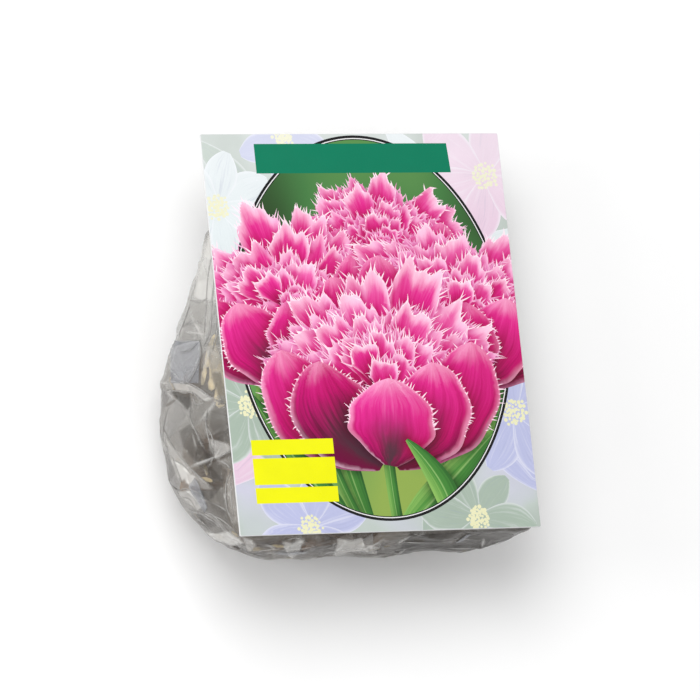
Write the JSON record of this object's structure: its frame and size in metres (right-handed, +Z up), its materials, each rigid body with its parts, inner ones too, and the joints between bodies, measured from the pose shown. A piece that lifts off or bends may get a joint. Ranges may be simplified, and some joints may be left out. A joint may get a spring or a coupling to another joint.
{
  "type": "packet of tulip bulbs",
  "caption": "Retail packet of tulip bulbs: a stiff printed picture card with a crinkled clear film pouch sealed to its back, filled with brown bulbs, lying face up.",
  "frame": {"origin": "on the table, under the middle of the packet's bounding box", "axes": "+X towards the card's right edge, +Y towards its top edge, +Z up, nearly along the way that the card's printed face looks"},
  "size_m": [0.1686, 0.196, 0.0777],
  "materials": {
    "card": "gloss",
    "film": "gloss",
    "bulb": "satin"
  },
  "bodies": {
    "root": {"card": "card", "film_pouch": "film", "bulb_01": "bulb", "bulb_02": "bulb", "bulb_03": "bulb", "bulb_04": "bulb", "bulb_05": "bulb", "bulb_06": "bulb", "bulb_07": "bulb", "bulb_08": "bulb", "bulb_09": "bulb", "bulb_10": "bulb", "bulb_11": "bulb", "bulb_12": "bulb", "bulb_13": "bulb", "bulb_14": "bulb", "bulb_15": "bulb"}
  },
  "joints": []
}
